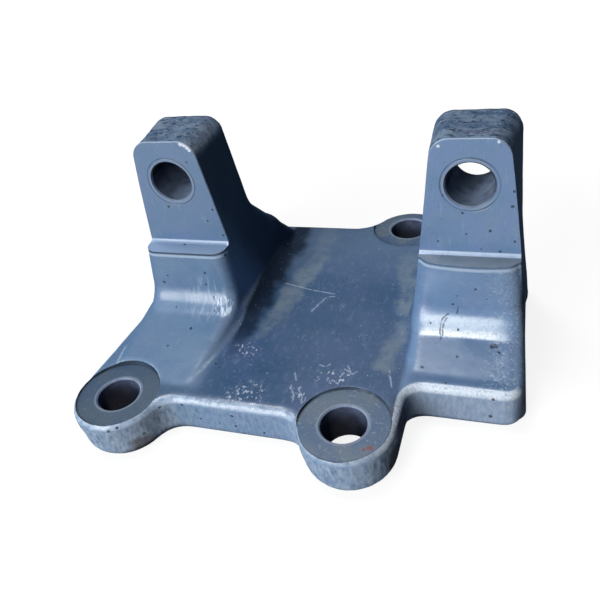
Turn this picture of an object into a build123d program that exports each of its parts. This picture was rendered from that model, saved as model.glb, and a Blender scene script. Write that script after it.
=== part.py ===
from build123d import *
import os

os.makedirs("parts", exist_ok=True)

# Thrust rod bracket, one forging. Millimetres.
# The underside is Z = 0, X = 0 lies midway between the two ear bores and
# the machined ear faces, which look along -Y, lie on Y = 0.

# Ear bores for the cross pin of the rod end
ear_bore_spacing = 152.0
ear_bore_diameter = 22.0
ear_bore_below_top = 22.6
ear_bore_chamfer = 0.8

# Ears; inner is how far the inner flank lies from the bore's axis, and draft
# is how far the outer flank leans in from the foot to that height. Toe-in is
# how far both flanks lean to the middle for each millimetre back
ear_top_height = 122.6
inner_reach_at_top = 17.2
outer_draft_at_top = 11.0
outer_draft_at_ledge = 4.6
ear_toe_in = 0.06
ear_top_corner_radius = 9.5
ear_back_at_top = 36.5
ear_back_at_gusset = 37.0
ear_seat_back = 31.5
ear_seat_diameter = 34.0

# The top of the outer flank leans out instead, from a little behind the face
ear_flare = 0.13
ear_flare_start = 3.0
ear_flare_draft = 3.7

# Machined faces and the ledge the face mill leaves under them
ledge_height = 62.6
ledge_corner_radius = 2.1

# Feet, which reach to both sides of the bore's axis: front wall, toe running
# out into the plate, gusset behind
foot_inner_reach = 32.0
foot_outer_reach = 28.2
wall_front_at_top = -4.4
knee_front = -13.9
knee_height = 30.7
knee_radius = 13.0
gusset_height = 68.0
gusset_radius = 12.0
hip_radius = 7.0
toe_sink = 0.4
left_toe_front = -73.0
left_toe_back = 78.0
right_toe_front = -46.0
right_toe_back = 52.0

# Hollows between the inner flanks and the plate
hollow_radius = 12.0
hollow_bite = 0.4
hollow_root = 4.0
left_hollow_back = 56.0
right_hollow_back = 40.0

# Plate; its right part carries the right foot, and its edges lie a margin
# outside the feet, or a setback inside them
plate_thickness = 22.7
plate_front = -79.0
plate_back = 84.0
right_plate_front = -52.0
right_plate_back = 57.0
right_margin_at_front = 1.0
right_setback_at_back = 3.0
waist_margin = 3.3
waist_radius = 60.0
notch_radius = 8.0
plate_edge_radius = 4.5
underside_bevel = 3.0

# Bolt lugs; the forged lugs sit a little off the drilled holes
left_lug_x = -91.4
lug_spacing_x = 120.0
front_lug_y = -79.3
lug_spacing_y = 165.0
left_lug_radius = 24.0
right_lug_radius = 23.0
right_lug_shift = 1.0
back_lug_setback = 4.5
front_blend_radius = 12.0
back_blend_radius = 20.0

# Thick shoulder along the left edge, rising by a ramp from the front
shoulder_height = 31.0
shoulder_front = -76.0
shoulder_back = 81.0
shoulder_inset = 1.0
shoulder_radius = 8.0
ramp_front = -24.0
ramp_height = 25.0
ramp_back = 4.0
ramp_radius = 20.0

# Bolt holes with spot faces
bolt_hole_diameter = 22.0
bolt_hole_chamfer = 0.7
spotface_diameter = 44.2
spotface_height = 21.2

right_lug_x = left_lug_x + lug_spacing_x
back_lug_y = front_lug_y + lug_spacing_y
bolt_holes = [(x, y) for x in (left_lug_x, right_lug_x) for y in (front_lug_y, back_lug_y)]
plate_middle = (front_lug_y + back_lug_y) / 2
back_lug_middle = back_lug_y - back_lug_setback
right_lug_middle = right_lug_x + right_lug_shift
left_tangent = left_lug_x - left_lug_radius
right_tangent = right_lug_middle + right_lug_radius
ear_middle = ear_bore_spacing / 2
ear_inner_at_top = ear_middle - inner_reach_at_top
foot_inner = ear_middle - foot_inner_reach
foot_outer = ear_middle + foot_outer_reach
right_edge_at_front = foot_outer + right_margin_at_front
right_edge_at_back = foot_outer - right_setback_at_back
waist_outer = foot_outer + waist_margin
ear_bore_height = ear_top_height - ear_bore_below_top
ear_outer_at_top = foot_outer - outer_draft_at_top
ear_outer_at_ledge = foot_outer - outer_draft_at_ledge
ear_bores = [(-ear_middle, ear_bore_height), (ear_middle, ear_bore_height)]
flank_lean = (ear_inner_at_top - foot_inner) / ear_top_height
clearance = 10.0


def side_profile(toe_front, toe_back):
    """Section of the forging seen from the side, before machining."""
    with BuildSketch(Plane.YZ) as profile:
        with BuildLine():
            Polyline(
                (toe_front, 0),
                (toe_front, plate_thickness - toe_sink),
                (knee_front, knee_height),
                (wall_front_at_top, ear_top_height),
                (ear_back_at_top, ear_top_height),
                (ear_back_at_gusset, gusset_height),
                (toe_back, plate_thickness - toe_sink),
                (toe_back, 0),
                close=True,
            )
        make_face()
        knee = profile.vertices().sort_by_distance((knee_front, knee_height))[0]
        fillet(knee, knee_radius)
        gusset_top = profile.vertices().sort_by_distance((ear_back_at_gusset, gusset_height))[0]
        fillet(gusset_top, gusset_radius)
    return profile.sketch


def rising_flank_edges(body):
    """Edges that run up the flanks."""
    flanks = body.faces().filter_by(lambda face: abs(face.normal_at().X) > 0.9)
    return flanks.edges().filter_by(lambda edge: abs((edge @ 0).Z - (edge @ 1).Z) > 1)


def flared_back(side, toe_front, toe_back):
    """Outer back of an ear, where the top of its flank leans out."""
    flare_outer = ear_outer_at_top - ear_toe_in * ear_flare_start
    flare_inner = ear_inner_at_top + hip_radius
    with BuildPart() as back:
        with BuildSketch(Plane.XZ.offset(-ear_flare_start)) as back_view:
            with BuildLine():
                Polyline(
                    (side * (flare_outer + ear_flare_draft), 0),
                    (side * flare_outer, ear_top_height),
                    (side * flare_inner, ear_top_height),
                    (side * flare_inner, 0),
                    close=True,
                )
            make_face()
            outer_top = back_view.vertices().sort_by_distance((side * flare_outer, ear_top_height))[0]
            fillet(outer_top, ear_top_corner_radius)
        extrude(back_view.sketch, amount=2 * foot_outer, dir=(side * ear_flare, 1, 0))
        extrude(side_profile(toe_front, toe_back), amount=2 * foot_outer, both=True, mode=Mode.INTERSECT)
        behind = rising_flank_edges(back).filter_by(lambda edge: (edge @ 0.5).Y > ear_seat_back)
        rising = behind.filter_by(lambda edge: (edge @ 0.5).Z > plate_thickness)
        fillet(rising, hip_radius)
    return back.part


def forged_ear(side, toe_front, toe_back):
    """Ear with its foot before machining; side is -1 for the left one and 1 for the right one."""
    with BuildPart() as ear:
        with BuildSketch(Plane.XZ) as front_view:
            with BuildLine():
                ThreePointArc(
                    (side * foot_outer, 0),
                    (side * ear_outer_at_ledge, ledge_height),
                    (side * ear_outer_at_top, ear_top_height),
                )
                Polyline(
                    (side * ear_outer_at_top, ear_top_height),
                    (side * ear_inner_at_top, ear_top_height),
                    (side * foot_inner, 0),
                    (side * foot_outer, 0),
                )
            make_face()
            fillet(front_view.vertices().group_by(Axis.Y)[-1], ear_top_corner_radius)
        extrude(front_view.sketch, amount=2 * foot_outer, dir=(-side * ear_toe_in, 1, 0))
        extrude(front_view.sketch, amount=2 * foot_outer, dir=(side * ear_toe_in, -1, 0))
        extrude(side_profile(toe_front, toe_back), amount=2 * foot_outer, both=True, mode=Mode.INTERSECT)
        fillet(rising_flank_edges(ear), hip_radius)
        add(flared_back(side, toe_front, toe_back))
    return ear.part


def forged_hollow(side, back):
    """Concave strip round the inner flank, from the front of the ear to its gusset."""
    top = plate_thickness + hollow_radius
    flank = foot_inner + flank_lean * top
    with BuildPart() as hollow:
        with BuildLine() as foot_line:
            FilletPolyline(
                (side * ear_middle, knee_front),
                (side * (flank - ear_toe_in * knee_front), knee_front),
                (side * (flank - ear_toe_in * back), back),
                (side * ear_middle, back),
                radius=hip_radius,
            )
        start = Plane((side * ear_middle, knee_front, 0), x_dir=(0, -1, 0), z_dir=(-1, 0, 0))
        with BuildSketch(start):
            with BuildLine():
                RadiusArc(
                    (-hollow_bite, top),
                    (hollow_radius, plate_thickness - hollow_bite),
                    -hollow_radius - hollow_bite,
                )
                Polyline(
                    (hollow_radius, plate_thickness - hollow_bite),
                    (hollow_radius, plate_thickness / 2),
                    (-hollow_root, plate_thickness / 2),
                    (-hollow_root, top),
                    (-hollow_bite, top),
                )
            make_face()
        sweep(path=foot_line.line)
    return hollow.part


left_ear = forged_ear(-1, left_toe_front, left_toe_back)
right_ear = forged_ear(1, right_toe_front, right_toe_back)
left_hollow = forged_hollow(-1, left_hollow_back)
right_hollow = forged_hollow(1, right_hollow_back)

with BuildPart() as shoulder:
    with BuildSketch() as shoulder_plan:
        with BuildLine():
            Polyline(
                (-ear_middle, shoulder_front),
                (left_tangent + shoulder_inset, shoulder_front),
                (-waist_outer, plate_middle),
                (left_tangent + shoulder_inset, shoulder_back),
                (-ear_middle, shoulder_back),
                close=True,
            )
        make_face()
        fillet(shoulder_plan.vertices().sort_by_distance((-waist_outer, plate_middle))[0], waist_radius)
    extrude(amount=shoulder_height)
    with BuildSketch(Plane.YZ) as shoulder_side:
        with BuildLine():
            Polyline(
                (shoulder_front, 0),
                (shoulder_front, plate_thickness - plate_edge_radius),
                (ramp_front, ramp_height),
                (ramp_back, shoulder_height),
                (ear_back_at_gusset, shoulder_height),
                (shoulder_back, plate_thickness - plate_edge_radius),
                (shoulder_back, 0),
                close=True,
            )
        make_face()
        for corner in [
            (ramp_front, ramp_height),
            (ramp_back, shoulder_height),
            (ear_back_at_gusset, shoulder_height),
        ]:
            fillet(shoulder_side.vertices().sort_by_distance(corner)[0], ramp_radius)
    extrude(amount=-2 * foot_outer, mode=Mode.INTERSECT)
    outer_edges = shoulder.edges().filter_by(lambda edge: max((edge @ 0).X, (edge @ 1).X) < -ear_middle - 1)
    rim = outer_edges.filter_by(lambda edge: (edge @ 0.5).Z > plate_thickness - plate_edge_radius)
    fillet(rim, shoulder_radius)

with BuildPart() as bracket:
    with BuildSketch() as plan:
        with BuildLine():
            Polyline(
                (left_lug_x, plate_front),
                (right_lug_x, plate_front),
                (right_tangent, front_lug_y),
                (right_tangent, right_plate_front),
                (right_edge_at_front, right_plate_front),
                (right_edge_at_back, right_plate_back),
                (right_tangent, right_plate_back),
                (right_tangent, back_lug_middle),
                (right_lug_x, plate_back),
                (left_lug_x, plate_back),
                (left_tangent, back_lug_middle),
                (-waist_outer, plate_middle),
                (left_tangent, front_lug_y),
                close=True,
            )
        make_face()
        with Locations((left_lug_x, front_lug_y), (left_lug_x, back_lug_middle)):
            Circle(left_lug_radius)
        with Locations((right_lug_middle, front_lug_y), (right_lug_middle, back_lug_middle)):
            Circle(right_lug_radius)
        for edge_y, blend_radius in [(plate_front, front_blend_radius), (plate_back, back_blend_radius)]:
            on_edge = plan.vertices().filter_by(lambda corner: abs(corner.Y - edge_y) < 1)
            fillet(on_edge.filter_by(lambda corner: left_lug_x < corner.X < right_lug_x), blend_radius)
        for corner in [
            (right_tangent, right_plate_front),
            (right_tangent, right_plate_back),
            (right_edge_at_front, right_plate_front),
            (right_edge_at_back, right_plate_back),
        ]:
            fillet(plan.vertices().sort_by_distance(corner)[0], notch_radius)
        fillet(plan.vertices().sort_by_distance((-waist_outer, plate_middle))[0], waist_radius)
    extrude(amount=plate_thickness)
    fillet(bracket.edges().group_by(Axis.Z)[-1], plate_edge_radius)
    chamfer(bracket.edges().group_by(Axis.Z)[0], underside_bevel)
    add(left_ear)
    add(right_ear)
    add(left_hollow)
    add(right_hollow)
    add(shoulder)
    # ear faces, milled down to the ledge
    with BuildSketch(Plane.YZ) as milled:
        with BuildLine():
            Polyline(
                (0, ear_top_height + clearance),
                (0, ledge_height),
                (left_toe_front, ledge_height),
                (left_toe_front, ear_top_height + clearance),
                close=True,
            )
        make_face()
        fillet(milled.vertices().sort_by_distance((0, ledge_height))[0], ledge_corner_radius)
    extrude(amount=2 * foot_outer, both=True, mode=Mode.SUBTRACT)
    # nut seats behind the ears, then the bores through both
    with BuildSketch(Plane.XZ.offset(-ear_seat_back)):
        with Locations(*ear_bores):
            Circle(ear_seat_diameter / 2)
    extrude(amount=-clearance, mode=Mode.SUBTRACT)
    with BuildSketch(Plane.XZ):
        with Locations(*ear_bores):
            Circle(ear_bore_diameter / 2)
    extrude(amount=-2 * ear_seat_back, mode=Mode.SUBTRACT)
    # spot faces and bolt holes
    with BuildSketch(Plane.XY.offset(spotface_height)):
        with Locations(*bolt_holes):
            Circle(spotface_diameter / 2)
    extrude(amount=clearance, mode=Mode.SUBTRACT)
    with BuildSketch():
        with Locations(*bolt_holes):
            Circle(bolt_hole_diameter / 2)
    extrude(amount=ear_top_height, mode=Mode.SUBTRACT)
    circles = bracket.edges().filter_by(GeomType.CIRCLE).filter_by(lambda edge: edge.is_closed)
    bolt_mouths = circles.filter_by(lambda edge: abs(edge.radius - bolt_hole_diameter / 2) < 0.01)
    chamfer(bolt_mouths.filter_by(lambda edge: edge.center().Z < ledge_height), bolt_hole_chamfer)
    pin_mouths = circles.filter_by(lambda edge: abs(edge.radius - ear_bore_diameter / 2) < 0.01)
    chamfer(pin_mouths.filter_by(lambda edge: edge.center().Z > ledge_height), ear_bore_chamfer)
    bracket.part.label = "bracket"

export_step(bracket.part, "parts/bracket.step")
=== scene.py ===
import math

import bmesh
import bpy
import numpy as np
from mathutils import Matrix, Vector, noise
from mathutils.kdtree import KDTree


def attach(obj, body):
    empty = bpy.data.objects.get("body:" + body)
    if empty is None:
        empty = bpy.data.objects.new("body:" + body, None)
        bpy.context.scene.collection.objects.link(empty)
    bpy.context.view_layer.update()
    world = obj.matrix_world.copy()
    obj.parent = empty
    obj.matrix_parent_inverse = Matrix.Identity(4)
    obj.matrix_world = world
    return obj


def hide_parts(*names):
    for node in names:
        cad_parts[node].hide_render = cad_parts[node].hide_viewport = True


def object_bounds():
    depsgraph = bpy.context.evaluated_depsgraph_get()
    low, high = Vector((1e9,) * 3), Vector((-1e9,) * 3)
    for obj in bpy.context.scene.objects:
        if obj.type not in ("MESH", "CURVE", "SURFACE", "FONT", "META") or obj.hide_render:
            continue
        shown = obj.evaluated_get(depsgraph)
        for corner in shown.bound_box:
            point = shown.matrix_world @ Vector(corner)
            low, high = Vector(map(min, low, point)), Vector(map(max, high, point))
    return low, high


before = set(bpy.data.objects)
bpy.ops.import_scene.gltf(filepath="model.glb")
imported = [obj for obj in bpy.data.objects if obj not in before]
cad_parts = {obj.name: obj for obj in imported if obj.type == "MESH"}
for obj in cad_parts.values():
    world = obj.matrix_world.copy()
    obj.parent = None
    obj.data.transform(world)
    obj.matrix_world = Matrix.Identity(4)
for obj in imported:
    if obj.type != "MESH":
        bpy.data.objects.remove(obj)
cad_low, cad_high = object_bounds()

# Sizes in millimetres, in the frame of the bracket: Z = 0 is the underside,
# the milled ear faces lie on Y = 0 and X = 0 is midway between the ear bores.
MM = 0.001
EAR_X = 76.0
BORE_HEIGHT = 100.0
BORE_RADIUS = 11.0
BORE_CHAMFER = 0.8
SEAT_BACK = 31.5
SEAT_RADIUS = 17.0
EAR_BACK = 36.7
LEDGE = 62.6
LEDGE_RADIUS = 2.1
HOLES = [(-91.4, -79.3), (28.6, -79.3), (-91.4, 85.7), (28.6, 85.7)]
HOLE_RADIUS = 11.0
HOLE_CHAMFER = 0.7
SPOT_RADIUS = 22.1
SPOT_HEIGHT = 21.2
SPOT_DEPTH = 10.0
PLATE_TOP = 22.7

# What the rough forging has more than the machined one
FACE_STOCK = 9.0
LEDGE_STOCK = 7.0
CORNER_STOCK = 5.0
BASE_STOCK = 5.0
STOCK_OVERLAP = 0.4
PLUG_RADIUS = 13.0
PLUG_MARGIN = 1.0
SEAT_OVERLAP = 0.5

# How far the cutters reach past what they cut
CUT_REACH = 150.0
CUT_BELOW = 20.0
MILL_TOP = 140.0
MILL_FRONT = 90.0
DRILL_LEAD = 0.4
BORE_START = -30.0
HOLE_START = -6.0
SEAT_CUT = 25.0

# Mesh sizes, and how far the forged skin stays inside the CAD box
VOXEL = 1.3
ROUND_STEPS = 72
ARC_STEPS = 8
SKIN_GAP = 0.01
MARK_REACH = 3.0

# Tolerances for telling which surface a face belongs to
EXACT = 0.01
CLOSE = 0.02
NEAR = 0.05

# Smoothing of the skin: rounds, steps in and out, and which hollows get rounded
FAIRING_ROUNDS = 6
STEP_IN = 0.5
STEP_OUT = 0.53
CORNER_ROUNDS = 10
CORNER_STEPS = 4
CORNER_HOLLOW = (0.03, 0.09)

# Waves of the skin as (height, size), and its grain on the ear tops and on the
# front lugs' walls as (height, sizes in X, Y and Z)
SKIN_WAVES = [(0.2, 26), (0.07, 10), (0.02, 4.2)]
WAVES_SHIFT = (3.1, -7.4, 12.9)
WAVES_EASE = (1, 6)
EAR_TOP_GRAIN = (0.2, (4, 2.4, 3))
EAR_TOP_LOW = 110
EAR_TOP_FRONT = 1
LUG_WALL_GRAIN = (0.25, (2.6, 2.6, 7))
LUG_WALL_HIGH = 17
LUG_WALL_BACK = -80

# Small forms that the CAD model leaves out. The right foot's wall is set back
# under its ledge, most at its sides. The front lugs lean in at their lower left.
FOOT_MIDDLE = 77.5
FOOT_HALF = 21
FOOT_INSIDE = 50
FOOT_RISE = (36, 58)
FOOT_FALL = (72, 68)
FOOT_FRONT = (-4, -8)
FOOT_SET_BACK = 0.6
FOOT_SIDES_SET_BACK = 2.2
LUG_DRAFT = 1.9
LUG_DRAFT_WAY = (-0.75, -0.66)
LUG_DRAFT_TOP = 15
LUG_WALL_REACH = (18, 30)
HUMP = (-47.0, 53.0, 42.0)
HUMP_REACH = (10, 9, 10)
HUMP_WAY = (0.3, 0, 0.95)
HUMP_HEIGHT = 2.0

# Pits, chips and stains are (x, y, z, radius), strokes are chains of points
FACE_PITS = [
    (-63.6, 0, 111.4, 0.5), (-82.0, 0, 85.1, 0.7), (-56.2, 0, 83.8, 0.6), (-60.9, 0, 76.8, 0.5),
    (-53.6, 0, 67.9, 0.6), (63.9, 0, 94.6, 0.5), (94.8, 0, 89.6, 0.8), (72.8, 0, 85.5, 0.6),
    (85.2, 0, 76.3, 0.7), (74.4, 0, 74.1, 0.5), (61.1, 0, 69.5, 0.5), (89.9, 0, 65.0, 0.6),
    (96.3, 0, 70.9, 0.6), (81.4, 0, 66.0, 0.4), (95.1, 0, 97.2, 0.6), (-77.6, -2.4, 62.6, 0.6),
]
FORGED_PITS = [
    (-91.4, -12.6, 43.1, 0.8), (-88.2, -12.1, 47.6, 0.5), (-64.2, -11.8, 50.6, 0.7),
    (-65.4, -12.6, 43.4, 0.5), (-84.3, -19.3, 30.9, 0.5), (-69.4, -32.6, 28.0, 0.9),
    (-77.9, -45.9, 26.1, 0.6), (-47.4, -51.7, 22.7, 0.7), (-44.2, -54.4, 22.7, 0.5),
    (-51.9, -6.5, 59.5, 1.0), (59.5, -11.7, 52.3, 0.9), (56.8, -12.1, 48.3, 0.6),
    (79.9, -11.9, 50.3, 0.8), (88.4, -11.7, 52.2, 0.8), (85.4, -12.4, 45.2, 0.5),
    (94.0, -12.5, 44.8, 0.8), (95.2, -12.4, 44.2, 0.8), (96.0, -11.2, 53.0, 0.6),
    (89.4, -25.5, 27.9, 1.2), (90.7, -25.2, 27.8, 1.1), (92.7, -28.4, 26.9, 0.7),
    (73.7, -32.7, 25.8, 0.7), (58.0, -40.2, 23.8, 0.7), (70.3, -47.7, 22.7, 0.6),
    (92.2, -51.9, 18.9, 0.8), (91.1, -52.0, 7.7, 1.0), (72.4, -18.6, 30.3, 0.6),
    (58.9, -16.7, 31.8, 0.5), (69.2, -12.8, 41.3, 0.6), (61.9, -12.2, 46.8, 0.4),
    (-65.9, -82.5, 19.0, 0.8), (-55.5, -79.0, 18.7, 0.7), (-84.6, -102.2, 19.2, 0.9),
    (-80.3, -100.0, 20.3, 0.9), (-28.6, -79.0, 15.5, 0.7), (-28.1, -79.0, 8.4, 0.7),
    (-36.7, -79.0, 9.0, 0.5), (-13.4, -79.0, 6.4, 0.7), (-72.0, -93.4, 10.6, 0.8),
    (-47.2, -79.0, 10.3, 0.6),
]
DARK_STROKES = [
    [(71.5, -10.8, 60.6), (71.2, -12.3, 46.2)],
    [(71.7, -13.0, 39.8), (71.3, -13.6, 36.8)],
    [(67.3, -13.8, 36.3), (64.8, -14.8, 34.3), (63.5, -16.3, 32.3), (63.8, -19.7, 29.6),
     (64.6, -23.7, 28.1)],
    [(66.5, -14.8, 34.2), (65.2, -16.2, 32.4), (65.0, -19.1, 29.9), (65.5, -23.0, 28.3)],
    [(-61.6, -14.2, 36.2), (-60.1, -19.7, 30.7)],
    [(-57.6, -15.2, 35.0), (-57.4, -19.9, 30.7)],
]
# The first three pale strokes are painted highlight streaks on the left knee, the others are
# scratches on the plate
PALE_STROKES = [
    [(-60.3, -14.2, 36.3), (-58.9, -19.7, 30.7)],
    [(-56.6, -14.2, 36.3), (-56.1, -20.0, 30.6)],
    [(-54.3, -14.9, 35.1), (-54.4, -20.1, 30.2)],
    [(-32.2, 19.3, 22.7), (-16.1, 14.9, 22.7), (-0.5, 12.5, 22.7)],
    [(-9.2, -4.2, 22.7), (-6.8, 2.6, 22.7), (-4.0, 9.2, 22.7), (0.1, 10.2, 22.7)],
    [(42.7, -43.9, 22.7), (45.9, -54.4, 22.7)],
    [(-2.1, -62.7, 22.7), (0.9, -67.0, 22.7), (1.4, -71.5, 22.7)],
    [(1.4, -62.2, 22.7), (5.0, -67.0, 22.7), (5.9, -71.4, 22.7)],
    [(-3.3, -52.4, 22.7), (-1.3, -57.0, 22.7)],
    [(7.6, -45.0, 22.7), (10.6, -46.0, 22.7), (12.5, -43.6, 22.7)],
    [(21.8, -43.7, 22.7), (24.3, -47.6, 22.7)],
    [(20.9, -46.0, 22.7), (25.2, -48.9, 22.7), (27.3, -47.1, 22.7)],
    [(16.5, -54.3, 22.7), (20.1, -56.5, 22.7)],
]
# Pale streaks on the plate, partly wear from rubbing and partly painted reflection
RUB_AND_SHEEN_LEFT = [(-21, 78, 22.7), (-21, 40, 22.7), (-27, 0, 22.7), (-32, -24, 22.7)]
RUB_AND_SHEEN_RIGHT = [(36, 50, 22.7), (41, 15, 22.7), (43, -16, 22.7), (38, -40, 22.7)]
SCUFFS = [(-23, -71, 22.7, 11), (-33, -39, 22.7, 7), (2, -66, 22.7, 6), (15, -52, 22.7, 7)]
SOILED = [(53, -66, 14, 11), (52, -80, 6, 9), (-74, -96, 3, 7), (100, -30, 10, 12), (99, 0, 40, 9)]
# Spots of painted highlight streaks at the left foot's knee
LEFT_KNEE_HIGHLIGHT = [(-54.5, -17, 32, 6)]
LEFT_FOOT_HIGHLIGHT = [(-66, -15, 35, 14)]
CORNER_CHIPS = [
    (-64.4, 0, 121.4, 1.2), (-62.6, 0, 120.8, 1.2), (-61.2, 0, 119.4, 1.2), (-60.4, 0, 118.0, 0.9),
]
FACE_CHIPS = [(62.4, 0, 119.2, 0.8), (88, 0.2, 121, 0.8), (-51.6, -1.5, 63.5, 1.3)]
RUST = [(43.6, -90.7, 21.2, 1.8), (41.2, -92.2, 21.2, 1.2)]

# The stage in metres: the floor's glow goes from its low value near the part
# to 1 further out, lamps are (name, width, length, power, direction, distance)
FLOOR_HALF = 3.0
FLOOR_DROP = 0.0002
FLOOR_GLOW = 0.87
GLOW_START = 0.2
GLOW_END = 0.5
WORLD_LIGHT = 0.04
LAMP_AIM = (0, 0, 0.05)
LAMPS = [
    ("front", 1.1, 1.4, 25.5, (-0.40, -0.83, 0.37), 1.6),
    ("top", 0.37, 0.7, 8.7, (-0.22, 0.1, 0.97), 1.4),
]
CAMERA_LENS = 40.1906
CAMERA_PLACE = (0.10663039, -0.27219634, 0.25176561)
CAMERA_TURN = (52.49188678, 8.86262687, 17.62288793)


# Mesh helpers

def new_object(name, mesh):
    piece = bpy.data.objects.new(name, mesh)
    bpy.context.scene.collection.objects.link(piece)
    return piece


def lathe(name, profile, centre, along_y):
    """Closed solid of revolution from (position along the axis, radius) pairs, in millimetres."""
    rings = []
    shape = bmesh.new()
    for along, radius in profile:
        ring = []
        for step in range(ROUND_STEPS):
            turn = 2 * math.pi * step / ROUND_STEPS
            across, rise = radius * math.cos(turn), radius * math.sin(turn)
            if along_y:
                point = (centre[0] + across, along, centre[1] + rise)
            else:
                point = (centre[0] + across, centre[1] + rise, along)
            ring.append(shape.verts.new([MM * value for value in point]))
        rings.append(ring)
    for lower, upper in zip(rings, rings[1:]):
        for step in range(ROUND_STEPS):
            following = (step + 1) % ROUND_STEPS
            shape.faces.new((lower[step], lower[following], upper[following], upper[step]))
    shape.faces.new(rings[0])
    shape.faces.new(rings[-1])
    bmesh.ops.recalc_face_normals(shape, faces=shape.faces)
    mesh = bpy.data.meshes.new(name)
    shape.to_mesh(mesh)
    shape.free()
    return new_object(name, mesh)


def prism_along_x(name, outline, start, end):
    """Closed prism from a (Y, Z) outline, in millimetres."""
    shape = bmesh.new()
    ends = []
    for x in (start, end):
        ends.append([shape.verts.new((MM * x, MM * y, MM * z)) for y, z in outline])
    count = len(outline)
    for step in range(count):
        following = (step + 1) % count
        shape.faces.new((ends[0][step], ends[0][following], ends[1][following], ends[1][step]))
    shape.faces.new(ends[0])
    shape.faces.new(ends[1])
    bmesh.ops.recalc_face_normals(shape, faces=shape.faces)
    mesh = bpy.data.meshes.new(name)
    shape.to_mesh(mesh)
    shape.free()
    return new_object(name, mesh)


def grown(source, chosen, shift, overlap):
    """Closed solid made by growing the chosen flat faces of a mesh by a shift, in millimetres."""
    shape = source.copy()
    drop = [face for face in shape.faces if not chosen(face)]
    bmesh.ops.delete(shape, geom=drop, context="FACES")
    shift = Vector(shift)
    for vert in shape.verts:
        vert.co -= shift.normalized() * overlap * MM
    made = bmesh.ops.extrude_face_region(shape, geom=list(shape.faces), use_keep_orig=True)
    for item in made["geom"]:
        if isinstance(item, bmesh.types.BMVert):
            item.co += shift * MM
    bmesh.ops.recalc_face_normals(shape, faces=shape.faces)
    return shape


def append_shape(target, shape):
    """Adds the faces of one bmesh to another."""
    mesh = bpy.data.meshes.new("part")
    shape.to_mesh(mesh)
    target.from_mesh(mesh)
    bpy.data.meshes.remove(mesh)


def evaluated(piece):
    graph = bpy.context.evaluated_depsgraph_get()
    return bpy.data.meshes.new_from_object(piece.evaluated_get(graph))


def bake_modifier(piece, kind, **settings):
    """Runs one modifier and keeps its result as the mesh."""
    modifier = piece.modifiers.new(kind, kind)
    for key, value in settings.items():
        setattr(modifier, key, value)
    mesh = evaluated(piece)
    piece.modifiers.remove(modifier)
    old = piece.data
    piece.data = mesh
    bpy.data.meshes.remove(old)


def remove(piece):
    mesh = piece.data
    bpy.data.objects.remove(piece)
    bpy.data.meshes.remove(mesh)


# The rough forging, as it was before machining

def lies_on(face, axis, value):
    """Whether a face lies in the plane across an axis at a value."""
    return all(abs(vert.co[axis] - MM * value) < 0.003 * MM for vert in face.verts)


def is_ear_face(face):
    return lies_on(face, 1, 0) and face.calc_center_median().z > MM * LEDGE


def in_ledge_corner(face):
    centre = face.calc_center_median() / MM
    return (
        -LEDGE_RADIUS < centre.y < 0
        and LEDGE < centre.z < LEDGE + LEDGE_RADIUS
        and abs(face.normal.x) < 0.3
    )


def hole_plugs():
    """Solids that fill the bores with their nut seats, and the bolt holes."""
    plugs = []
    for side in (-1, 1):
        centre = (side * EAR_X, BORE_HEIGHT)
        bore = [(-FACE_STOCK, PLUG_RADIUS), (SEAT_BACK + PLUG_MARGIN, PLUG_RADIUS)]
        seat = [(SEAT_BACK - SEAT_OVERLAP, SEAT_RADIUS), (EAR_BACK, SEAT_RADIUS)]
        plugs.append(lathe("plug", bore, centre, True))
        plugs.append(lathe("plug", seat, centre, True))
    hole = [(PLUG_MARGIN - BASE_STOCK, PLUG_RADIUS), (PLATE_TOP, PLUG_RADIUS)]
    for centre in HOLES:
        plugs.append(lathe("plug", hole, centre, False))
    return plugs


def rough_forging():
    """The CAD mesh with stock on its machined faces and with its holes filled."""
    welded = bmesh.new()
    welded.from_mesh(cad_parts["bracket"].data)
    bmesh.ops.remove_doubles(welded, verts=welded.verts, dist=0.002 * MM)
    rough = welded.copy()
    for chosen, shift in [
        (is_ear_face, (0, -FACE_STOCK, 0)),
        (lambda face: lies_on(face, 2, LEDGE), (0, 0, LEDGE_STOCK)),
        (in_ledge_corner, (0, -CORNER_STOCK, CORNER_STOCK)),
        (lambda face: lies_on(face, 2, SPOT_HEIGHT), (0, 0, PLATE_TOP - SPOT_HEIGHT)),
        (lambda face: lies_on(face, 2, 0), (0, 0, -BASE_STOCK)),
    ]:
        stock = grown(welded, chosen, shift, STOCK_OVERLAP)
        append_shape(rough, stock)
        stock.free()
    welded.free()
    for plug in hole_plugs():
        rough.from_mesh(plug.data)
        remove(plug)
    mesh = bpy.data.meshes.new("rough")
    rough.to_mesh(mesh)
    rough.free()
    return new_object("rough", mesh)


# The forged skin

def read_points(mesh):
    """Vertices of a mesh as rows of millimetres."""
    points = np.zeros(3 * len(mesh.vertices))
    mesh.vertices.foreach_get("co", points)
    return points.reshape(-1, 3) / MM


def write_points(mesh, points):
    mesh.vertices.foreach_set("co", (points * MM).ravel())
    mesh.update()


def normals_at(mesh, points):
    """Vertex normals of the mesh after its vertices are moved to the points."""
    write_points(mesh, points)
    found = np.zeros(3 * len(points))
    mesh.vertices.foreach_get("normal", found)
    return found.reshape(-1, 3)


def fade(values, start, end):
    """From 0 at the start to 1 at the end in a straight line; start may be the larger one."""
    return np.clip((values - start) / (end - start), 0, 1)


def neighbour_pull(mesh):
    """Makes a function that tells how far each vertex is from the mean of its neighbours."""
    count = len(mesh.vertices)
    edges = np.zeros(2 * len(mesh.edges), np.int64)
    mesh.edges.foreach_get("vertices", edges)
    first, second = edges.reshape(-1, 2).T
    degree = np.bincount(np.r_[first, second], minlength=count)[:, None]

    def pull(values):
        total = np.empty_like(values)
        for axis in range(values.shape[1]):
            total[:, axis] = np.bincount(first, values[second, axis], count)
            total[:, axis] += np.bincount(second, values[first, axis], count)
        return total / degree - values

    return pull


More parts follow.
